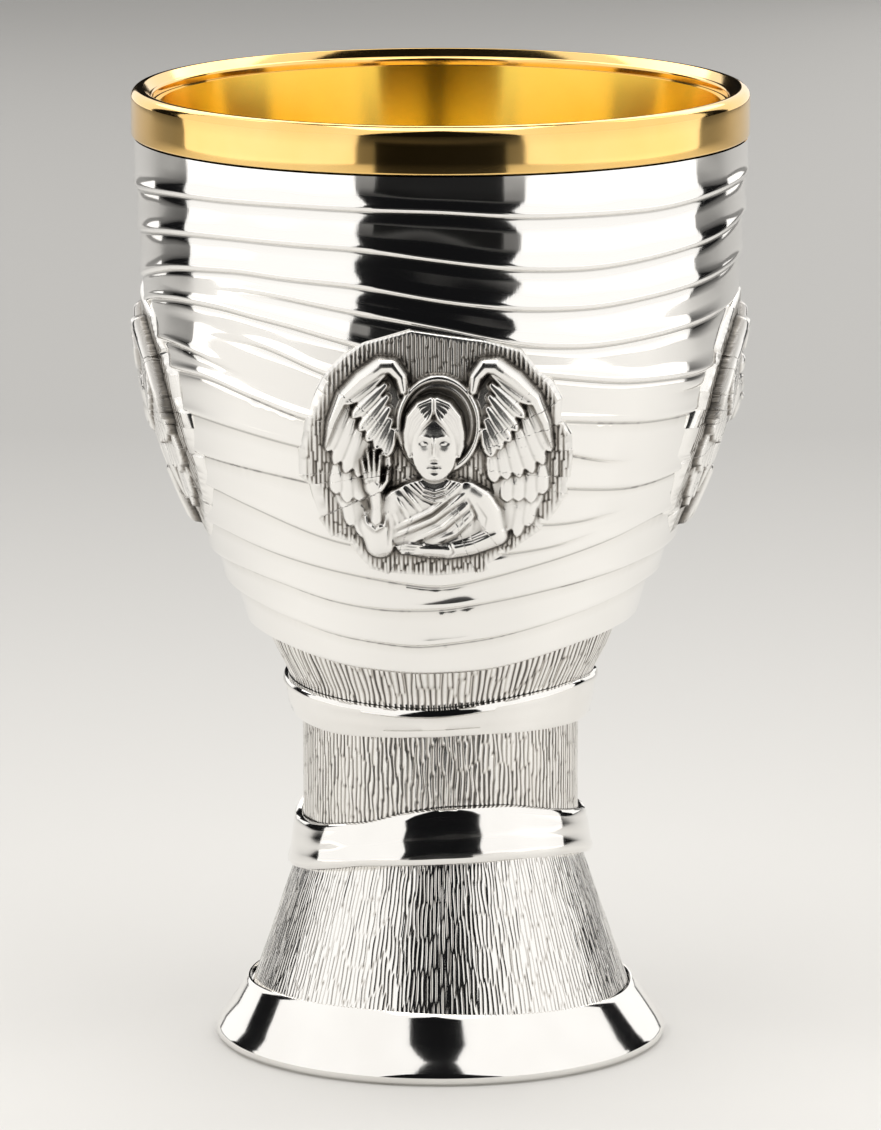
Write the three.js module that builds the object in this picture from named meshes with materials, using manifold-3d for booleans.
// Open ciborium: a gilt cup inside a chased silver-plated bowl, on a textured stem and foot.
// The stack is drawn together by one tie rod, whose nut sits inside the hollow foot.
// Millimetres, +Z up. The origin is the centre of the resting face; the angel medallion faces -Y.
import * as THREE from "three";
import { mergeVertices } from "three/addons/utils/BufferGeometryUtils.js";
import Module from "manifold-3d";

const wasm = await Module();
wasm.setup();

// Driving dimensions.
const HEIGHT = 165;
const RIM_RADIUS = 52.5;
const FOOT_RADIUS = 38.8;
const STEM_RADIUS = 23.6;
const SHEET = 1; // thickness of the spun shells
const STRUCK_SHEET = 1.2; // thickness of the shells that are struck all over
const CLEAR = 0.3; // clearance between pieces that touch
const SIDES = 48; // facets round every visible turned piece
const SMALL_SIDES = 24; // facets round the hidden hardware

// Heights of the joints in the stack.
const BAND_BOTTOM = 157; // gilt rim band over the bowl's upper edge
const CUP_FLOOR = 82; // underside of the gilt cup
const SEAT_TOP = 78.2; // plate that carries the cup
const SEAT_BOTTOM = 76.6;
const NECK_BOTTOM = 60.6; // textured neck standing on the upper collar's ledge
const STEM_TOP = 59.6;
const STEM_BOTTOM = 38;
const FOOT_TOP = 37.4; // textured foot cone, up inside the lower collar

// The bowl is a cone that turns into a nearly straight wall over a soft shoulder.
const BOWL_LOW = { z: 73.3, radius: 31.4, slope: 0.48 };
const BOWL_HIGH = { z: 156.8, radius: 52, slope: 0.065 };
const SHOULDER = 3; // softness of the change between them

// Outside of the textured neck, [radius, height] from the bottom up. Its top carries the seat plate.
const NECK = [
  [25.2, NECK_BOTTOM],
  [26.1, 64.4],
  [28.8, 69.6],
  [31.4, SEAT_BOTTOM - CLEAR],
];

const MEDALLION = { z: 109, radius: 23, under: 0.3, ground: 1.4, sides: 36, rings: 10 };

// Chased edges, from the top down. Each band of the bowl ends below in a raised lip that overlaps the next.
// z is the mean height, tilt lifts the left side (-X) and lowers the right; lobes waves of the given swell
// have a crest at azimuth crest (degrees from the front, positive to the right). lip is the lip's height.
const EDGES = [
  { z: 150.2, tilt: 0, lobes: 3, swell: 0.9, crest: -30, lip: 0.7 },
  { z: 142.3, tilt: 0.4, lobes: 3, swell: 2.2, crest: -40, lip: 0.6 },
  { z: 136.2, tilt: 0.8, lobes: 3, swell: 2.4, crest: -42, lip: 0.6 },
  { z: 131.2, tilt: 3.6, lobes: 3, swell: 1.8, crest: -40, lip: 0.6 },
  { z: 125.8, tilt: 6.2, lobes: 3, swell: 1, crest: -40, lip: 0.6 },
  { z: 119.5, tilt: 7, lobes: 3, swell: 1.2, crest: -38, lip: 0.6 },
  { z: 113.4, tilt: 6.8, lobes: 3, swell: 0.6, crest: -45, lip: 0.6 },
  { z: 107.4, tilt: 6, lobes: 3, swell: 0.8, crest: -25, lip: 0.6 },
  { z: 101.4, tilt: 4.4, lobes: 3, swell: 0.8, crest: -35, lip: 0.7 },
  { z: 91.2, tilt: -1.7, lobes: 2, swell: 3.4, crest: 82, lip: 1 },
  { z: 84.5, tilt: 0, lobes: 2, swell: 3, crest: 82, lip: 1.3 },
  { z: 78, tilt: 0, lobes: 2, swell: 3, crest: 82, lip: 1.6 },
  { z: 71.4, tilt: -0.8, lobes: 2, swell: 2.2, crest: 82, lip: 1.5 },
];
const LIP_RISE = 1.1; // height over which a lip comes out to its full width

const silver = metal(0xd8d4cc, 0.14);
const chasedSilver = metal(0xa9a49b, 0.38);
const gold = metal(0xf0b440, 0.12);
const brass = metal(0xb08d4a, 0.4);
const steel = metal(0x8f9296, 0.35);

function metal(color, roughness) {
  return new THREE.MeshStandardMaterial({ color, roughness, metalness: 1 });
}

const rad = THREE.MathUtils.degToRad;

function softMin(a, b, softness) {
  return -softness * Math.log(Math.exp(-a / softness) + Math.exp(-b / softness));
}

function bowlRadius(z) {
  const low = BOWL_LOW.radius + BOWL_LOW.slope * (z - BOWL_LOW.z);
  const high = BOWL_HIGH.radius + BOWL_HIGH.slope * (z - BOWL_HIGH.z);
  return softMin(low, high, SHOULDER);
}

function neckRadius(z) {
  const above = Math.max(1, NECK.findIndex(([, height]) => height >= z - 1e-9));
  const [[r0, z0], [r1, z1]] = NECK.slice(above - 1);
  return r0 + ((r1 - r0) * (z - z0)) / (z1 - z0);
}

// A wave round the axis: mean height, one lean to the side, and a number of equal lobes.
function wave({ z, tilt = 0, lobes, swell, crest }, azimuth) {
  return z - tilt * Math.sin(azimuth) + swell * Math.cos(lobes * (azimuth - rad(crest)));
}

// A closed turned body. A profile point is [radius, height], or a function of the azimuth that gives one.
// A profile that leaves the axis is joined back to its first point.
function turned(profile, sides = SIDES) {
  const points = [...profile];
  const at = (point, azimuth) => (typeof point === "function" ? point(azimuth) : point);
  if (at(points[0], 0)[0] > 0) points.push(points[0]);
  const outline = points.map((point) => new THREE.Vector2(...at(point, 0)));
  const geometry = new THREE.LatheGeometry(outline, sides);
  const position = geometry.attributes.position;
  for (let i = 0; i < position.count; i++) {
    const azimuth = (2 * Math.PI * Math.floor(i / points.length)) / sides;
    const [radius, height] = at(points[i % points.length], azimuth);
    position.setXYZ(i, radius * Math.sin(azimuth), -radius * Math.cos(azimuth), height);
  }
  return bare(geometry);
}

// Only positions, with shared vertices merged, so that the geometry is one closed surface.
function bare(geometry) {
  geometry.deleteAttribute("normal");
  geometry.deleteAttribute("uv");
  return mergeVertices(geometry, 1e-3);
}

function solid(geometry) {
  const vertProperties = new Float32Array(geometry.attributes.position.array);
  const triVerts = new Uint32Array(geometry.index.array);
  return new wasm.Manifold(new wasm.Mesh({ numProp: 3, vertProperties, triVerts }));
}

function geometryOf(manifold) {
  const { vertProperties, triVerts } = manifold.getMesh();
  return new THREE.BufferGeometry()
    .setAttribute("position", new THREE.BufferAttribute(vertProperties, 3))
    .setIndex(new THREE.BufferAttribute(triVerts, 1));
}

// Heavy gilt lip: a straight band outside, a rounded crest, and a bevel down to the cup's mouth.
function rimBand() {
  const mouth = 48.9;
  return turned([
    [mouth, BAND_BOTTOM],
    [RIM_RADIUS - 0.4, BAND_BOTTOM],
    [RIM_RADIUS, BAND_BOTTOM + 0.5],
    [RIM_RADIUS, HEIGHT - 1.7],
    [RIM_RADIUS - 0.3, HEIGHT - 0.7],
    [RIM_RADIUS - 0.9, HEIGHT - 0.1],
    [RIM_RADIUS - 1.5, HEIGHT],
    [mouth + 0.3, HEIGHT - 1.7],
    [mouth, HEIGHT - 2.1],
  ]);
}

// Spun inner cup with a rounded floor and a flared wall, hung inside the bowl clear of it.
function giltCup() {
  const space = 2.4; // least space between cup and bowl
  const mouth = 48.6;
  const flare = 0.12; // how much the wall widens for each mm of height
  const top = HEIGHT - 2.6;
  const corner = { radius: 9, x: 27.4 };
  const outside = (z) => Math.min(mouth - flare * (top - z), bowlRadius(z) - space);
  const wallHeights = [92, 98, 103, 108, 114, 125, BAND_BOTTOM];
  const floor = (offset) =>
    [0, 30, 60].map((turn) => [
      corner.x + (corner.radius - offset) * Math.sin(rad(turn)),
      CUP_FLOOR + corner.radius - (corner.radius - offset) * Math.cos(rad(turn)),
    ]);
  const outer = [[0, CUP_FLOOR], ...floor(0), ...wallHeights.map((z) => [outside(z), z])];
  const innerWall = wallHeights.map((z) => [outside(z) - SHEET, z]);
  const inner = [[0, CUP_FLOOR + SHEET], ...floor(SHEET), ...innerWall];
  return turned([...outer, [mouth, top], [mouth - SHEET, top], ...inner.reverse()]);
}

// Outer bowl: smooth inside, chased bands outside, with a flat seat sunk for each medallion.
function bowlShell() {
  const lowest = EDGES.at(-1);
  const lipPoint = (edge) => (azimuth) => {
    const z = wave(edge, azimuth) + LIP_RISE;
    return [bowlRadius(z) + edge.lip, z];
  };
  const creasePoint = (edge) => (azimuth) => {
    const z = wave(edge, azimuth);
    return [bowlRadius(z) + 0.05, z];
  };
  const top = BAND_BOTTOM - CLEAR;
  const bands = EDGES.flatMap((edge) => [lipPoint(edge), creasePoint(edge)]);
  const inner = [77, 88, 96, 104, 110, 116, 130, top].map((z) => [bowlRadius(z) - SHEET, z]);
  const hem = (azimuth) => {
    const z = wave(lowest, azimuth);
    return [neckRadius(z) + CLEAR, z];
  };
  const body = turned([hem, ...inner, [bowlRadius(top) + 0.3, top], ...bands].reverse());
  return MEDALLIONS.reduce((shell, { azimuth }) => {
    const seat = medallionDisc(azimuth, { radius: MEDALLION.radius + CLEAR, low: 0, high: 3 });
    return shell.subtract(solid(seat));
  }, solid(body));
}

// A hewn outline: sides of two slightly different radii in turn.
function hewn(turn) {
  return Math.round((turn * MEDALLION.sides) / (2 * Math.PI)) % 3 === 0 ? 0.975 : 1;
}

// A disc seen round from the front, wrapped on the bowl between two heights above its wall.
function medallionDisc(azimuth, { radius, low, high, relief = () => 0 }) {
  const { sides, rings } = MEDALLION;
  const bevel = 0.5;
  const outline = [0, 0.25, 0.5, 0.75, 1].map((part) => new THREE.Vector2(radius * part, low));
  for (let i = rings; i >= 0; i--) {
    outline.push(new THREE.Vector2(((radius - bevel) * i) / rings, high));
  }
  const geometry = new THREE.LatheGeometry(outline, sides);
  const position = geometry.attributes.position;
  for (let i = 0; i < position.count; i++) {
    const turn = Math.atan2(position.getZ(i), position.getX(i));
    const across = -position.getX(i) * hewn(turn);
    const up = position.getZ(i) * hewn(turn);
    const proud = position.getY(i) > (low + high) / 2 ? high + relief(across, up) : position.getY(i);
    const z = MEDALLION.z + up;
    const r = bowlRadius(z) + proud;
    position.setXYZ(i, across, -Math.sqrt(r * r - across * across), z);
  }
  return bare(geometry).rotateZ(azimuth);
}

// A rounded swelling, height tall, that fades at the ellipse across by up.
function swelling(x, y, [cx, cy, across, up, height]) {
  const q = 1 - ((x - cx) / across) ** 2 - ((y - cy) / up) ** 2;
  return q > 0 ? height * Math.sqrt(q) : 0;
}

// Each figure as a few swellings: [x, y, half width, half height, height].
const LEFT_WING = [-12.5, 4, 5.5, 13, 1.5];
const RIGHT_WING = [12.5, 4, 5.5, 13, 1.5];
const WINGS = [LEFT_WING, RIGHT_WING];
const MEDALLIONS = [
  {
    name: "angel",
    azimuth: 0,
    figure: [...WINGS, [0, 6, 7, 8, 0.9], [0, 3.6, 4.6, 7.2, 2.5], [0, -10, 11, 8, 1.9]],
  },
  {
    name: "lion",
    azimuth: Math.PI / 2,
    figure: [...WINGS, [0, 3.4, 8, 9, 1.6], [0, 3, 4.7, 5.4, 2.5], [0, -8, 8.4, 10, 1.7]],
  },
  {
    name: "eagle",
    azimuth: Math.PI,
    figure: [...WINGS, [0, 8.4, 3.6, 4.2, 2.3], [0, -3, 6, 10.4, 1.5], [0, -14, 5, 5, 0.9]],
  },
  {
    name: "ox",
    azimuth: -Math.PI / 2,
    figure: [...WINGS, [0, 3.4, 4.6, 7.4, 2.4], [0, 10.6, 7.4, 3.6, 1.6], [0, -9, 8.6, 9.4, 1.6]],
  },
];

function medallion({ azimuth, figure }) {
  const relief = (x, y) => Math.max(...figure.map((part) => swelling(x, y, part)));
  return medallionDisc(azimuth, {
    radius: MEDALLION.radius,
    low: MEDALLION.under,
    high: MEDALLION.ground,
    relief,
  });
}

// Textured funnel between the bowl and the upper collar.
function neckCone() {
  return shell(NECK);
}

// Gives an outer profile, listed from the bottom up, the thickness of the sheet.
function shell(profile) {
  return turned([...profile.map(([r, z]) => [r - STRUCK_SHEET, z]), ...profile.toReversed()].reverse());
}

const UPPER_COLLAR_TOP = { z: 63.3, lobes: 2, swell: 0.8, crest: 60 };
const UPPER_COLLAR_BOTTOM = { z: 57.4, lobes: 2, swell: 0.7, crest: 15 };
const LOWER_COLLAR_TOP = { z: 42.1, lobes: 2, swell: 2.8, crest: 17 };
const LOWER_COLLAR_BOTTOM = { z: 33.1, lobes: 2, swell: 2.5, crest: 20 };

// A point of a collar, at a radius and a height above one of its waved edges.
function onEdge(edge, radius, rise) {
  return (azimuth) => [radius, wave(edge, azimuth) + rise];
}

// Polished ring round the joint of neck and stem, with a ledge inside that the neck stands on.
function upperCollar() {
  const neckBore = 26.5;
  const ledge = NECK_BOTTOM - CLEAR;
  return turned([
    onEdge(UPPER_COLLAR_TOP, neckBore, 0.4),
    [neckBore, ledge + 1.6],
    [25.5, ledge],
    [STEM_RADIUS + 0.4, ledge],
    onEdge(UPPER_COLLAR_BOTTOM, STEM_RADIUS + 0.4, 0),
    onEdge(UPPER_COLLAR_BOTTOM, 25.1, 0),
    onEdge(UPPER_COLLAR_BOTTOM, 25.8, 1),
    onEdge(UPPER_COLLAR_TOP, 27.1, -1),
    onEdge(UPPER_COLLAR_TOP, 26.9, 0.2),
  ]);
}

// Polished, strongly waved ring over the joint of stem and foot.
function lowerCollar() {
  const bore = STEM_RADIUS + 0.4;
  return turned([
    onEdge(LOWER_COLLAR_TOP, bore, 0),
    [bore, FOOT_TOP - 1.2],
    (azimuth) => {
      const z = wave(LOWER_COLLAR_BOTTOM, azimuth);
      return [footConeRadius(z) + 0.4, z];
    },
    onEdge(LOWER_COLLAR_BOTTOM, 25.9, 0),
    onEdge(LOWER_COLLAR_BOTTOM, 26.3, 1),
    onEdge(LOWER_COLLAR_TOP, 25.3, -0.9),
    onEdge(LOWER_COLLAR_TOP, 24.8, 0),
  ]);
}

function stemTube() {
  return shell([
    [STEM_RADIUS, STEM_BOTTOM],
    [STEM_RADIUS, STEM_TOP],
  ]);
}

const FOOT_CONE = { z: 11.5, radius: 31.6, slope: 0.345 };

function footConeRadius(z) {
  return Math.max(STEM_RADIUS, FOOT_CONE.radius - FOOT_CONE.slope * (z - FOOT_CONE.z));
}

function footCone() {
  const heights = [9.4, 20, 27.5, 34.7, FOOT_TOP];
  return shell(heights.map((z) => [footConeRadius(z), z]));
}

// Polished flared base. Its upper lip waves gently round the cone, and it rests on a flat ring.
function footRing() {
  const lip = { z: 10.2, lobes: 2, swell: 0.8, crest: -12 };
  const inside = footConeRadius(9.4) + 0.4;
  return turned([
    onEdge(lip, inside + 0.3, 0),
    [inside, 9],
    [inside - 0.6, 8.8],
    [inside - 0.6, 7.6],
    [FOOT_RADIUS - 2.4, 1.4],
    [FOOT_RADIUS - 2.4, 0],
    [FOOT_RADIUS - 0.7, 0],
    [FOOT_RADIUS - 0.1, 0.7],
    [FOOT_RADIUS, 1.5],
    [FOOT_RADIUS - 0.5, 2.7],
    [FOOT_RADIUS - 1.5, 3.9],
    onEdge(lip, inside + 1.2, -0.5),
    onEdge(lip, inside + 0.8, 0),
  ]);
}

// Hidden hardware on the axis.
const ROD_RADIUS = 3;
const ROD_LOW = 17;
const HOLE_RADIUS = ROD_RADIUS + CLEAR;
const PLATE = 1.6; // thickness of the inner plates
const PLATE_EDGE = 0.4; // how far the inner plates stay off the shells round them
const CENTRING_TOP = 58; // plate that keeps the rod in the middle of the stem
const BRIDGE_TOP = 33.6; // plate wedged inside the foot, which takes the pull
const BOSS = { radius: 7, flange: 14, thickness: 1.6, cover: 1 };
const FLAT_WASHER = { radius: 9, thickness: 1.2 };
const SPRING_WASHER = { radius: 6.2, thickness: 1.4, play: 0.2, cut: 8 };
const NUT = { corner: 6.4, height: 5, chamfer: 0.8 };

function ring(inner, outer, bottom, top, sides = SMALL_SIDES) {
  return turned([[inner, bottom], [outer, bottom], [outer, top], [inner, top]], sides);
}

// Flanged socket soldered under the cup; the rod is screwed up into it.
function cupBoss() {
  const top = CUP_FLOOR - CLEAR;
  return turned(
    [
      [0, top],
      [BOSS.flange, top],
      [BOSS.flange, top - BOSS.thickness],
      [BOSS.radius, top - BOSS.thickness],
      [BOSS.radius, SEAT_TOP + CLEAR],
      [HOLE_RADIUS, SEAT_TOP + CLEAR],
      [HOLE_RADIUS, top - BOSS.cover],
      [0, top - BOSS.cover],
    ].reverse(),
    SMALL_SIDES,
  );
}

// A bar on the axis, radius thick, with both ends chamfered.
function bar(radius, low, high, chamfer) {
  return turned(
    [
      [0, low],
      [radius - chamfer, low],
      [radius, low + chamfer],
      [radius, high - chamfer],
      [radius - chamfer, high],
      [0, high],
    ],
    SMALL_SIDES,
  );
}

function tieRod() {
  return bar(ROD_RADIUS, ROD_LOW, CUP_FLOOR - CLEAR - BOSS.cover - CLEAR, 0.6);
}

// Flat ring cut through at one place, as a spring washer is.
function springWasher(bottom) {
  const { radius, thickness, play, cut } = SPRING_WASHER;
  const start = rad(cut);
  const outline = new THREE.Shape();
  outline.absarc(0, 0, radius, start, 2 * Math.PI, false);
  outline.absarc(0, 0, HOLE_RADIUS + play, 2 * Math.PI, start, true);
  const settings = { depth: thickness, bevelEnabled: false, curveSegments: SMALL_SIDES };
  return bare(new THREE.ExtrudeGeometry(outline, settings).translate(0, 0, bottom));
}

// Hexagon nut with its corners turned off at both faces.
function hexNut(bottom) {
  const top = bottom + NUT.height;
  const hexagon = ring(HOLE_RADIUS, NUT.corner, bottom, top, 6);
  const blank = bar(NUT.corner, bottom, top, NUT.chamfer);
  const bore = turned(
    [
      [0, bottom - 1],
      [HOLE_RADIUS, bottom - 1],
      [HOLE_RADIUS, top + 1],
      [0, top + 1],
    ],
    SMALL_SIDES,
  );
  const filled = solid(hexagon).add(solid(bore));
  return filled.intersect(solid(blank)).subtract(solid(bore));
}

// A round plate on the rod, out to a radius less the gap at its edge.
function plate(radius, top) {
  return ring(HOLE_RADIUS, radius - PLATE_EDGE, top - PLATE, top);
}

const WASHER_TOP = BRIDGE_TOP - PLATE - CLEAR;
const WASHER_LOW = WASHER_TOP - FLAT_WASHER.thickness;
const SPRING_TOP = WASHER_LOW - CLEAR;
const NUT_TOP = SPRING_TOP - SPRING_WASHER.thickness - CLEAR;

const ciborium = new THREE.Group();

function add(name, shape, material) {
  const geometry = shape.isBufferGeometry ? shape : geometryOf(shape);
  const mesh = new THREE.Mesh(geometry, material);
  mesh.name = name;
  ciborium.add(mesh);
}

add("rim_band", rimBand(), gold);
add("gilt_cup", giltCup(), gold);
add("bowl_shell", bowlShell(), silver);
for (const figure of MEDALLIONS) add(`medallion_${figure.name}`, medallion(figure), chasedSilver);
add("neck_cone", neckCone(), chasedSilver);
add("upper_collar", upperCollar(), silver);
add("stem_tube", stemTube(), chasedSilver);
add("lower_collar", lowerCollar(), silver);
add("foot_cone", footCone(), chasedSilver);
add("foot_ring", footRing(), silver);
add("cup_boss", cupBoss(), brass);
add("cup_seat_plate", plate(bowlRadius(SEAT_BOTTOM) - SHEET, SEAT_TOP), brass);
add("stem_centring_plate", plate(STEM_RADIUS - STRUCK_SHEET, CENTRING_TOP), brass);
add("foot_bridge_plate", plate(footConeRadius(BRIDGE_TOP) - STRUCK_SHEET, BRIDGE_TOP), brass);
add("tie_rod", tieRod(), steel);
add("flat_washer", ring(HOLE_RADIUS, FLAT_WASHER.radius, WASHER_LOW, WASHER_TOP), steel);
add("spring_washer", springWasher(SPRING_TOP - SPRING_WASHER.thickness), steel);
add("hex_nut", hexNut(NUT_TOP - NUT.height), steel);

export default ciborium;
